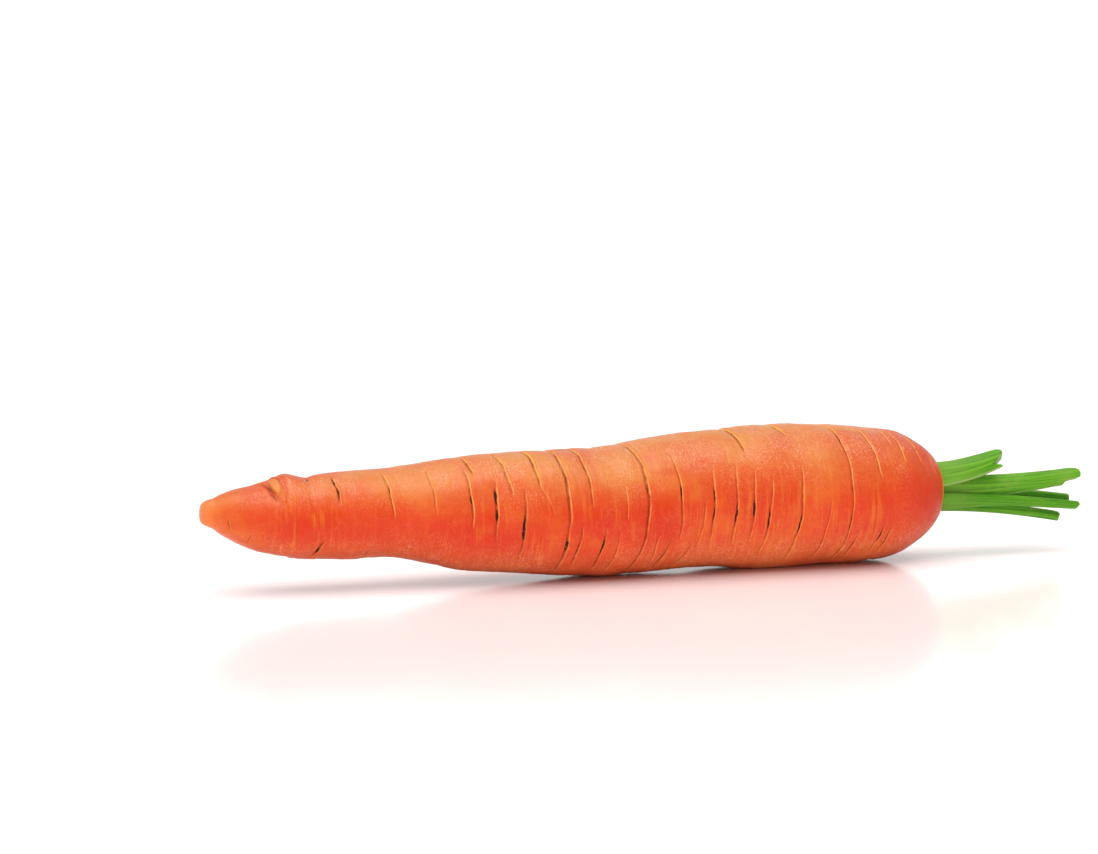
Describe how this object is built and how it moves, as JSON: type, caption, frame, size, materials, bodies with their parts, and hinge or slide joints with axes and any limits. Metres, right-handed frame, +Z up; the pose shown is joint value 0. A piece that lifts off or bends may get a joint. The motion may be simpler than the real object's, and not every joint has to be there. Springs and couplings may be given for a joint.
{
  "type": "carrot",
  "caption": "Whole fresh carrot lying on its side: tapering orange root with a blunt tip and ringed scars, and short trimmed green leaf stalks at the crown.",
  "frame": {"origin": "middle of the carrot's footprint, on the surface it lies on", "axes": "+X along the root from its tip to its crown, +Y across, +Z up"},
  "size_m": [0.2342, 0.0366, 0.0361],
  "materials": {
    "root_skin": "washed carrot skin, moist satin sheen, fine crosswise wrinkles, pale and brown scars",
    "leaf_stalk": "fresh green ribbed leaf stalk with pale membranous margins and a moist cut end"
  },
  "bodies": {
    "root": {"taproot": "root_skin", "stalk_upper_front": "leaf_stalk", "stalk_middle": "leaf_stalk", "stalk_lower_front": "leaf_stalk", "stalk_lower_back": "leaf_stalk", "stalk_bottom": "leaf_stalk", "stalk_upper_back": "leaf_stalk", "stalk_back": "leaf_stalk"}
  },
  "joints": []
}
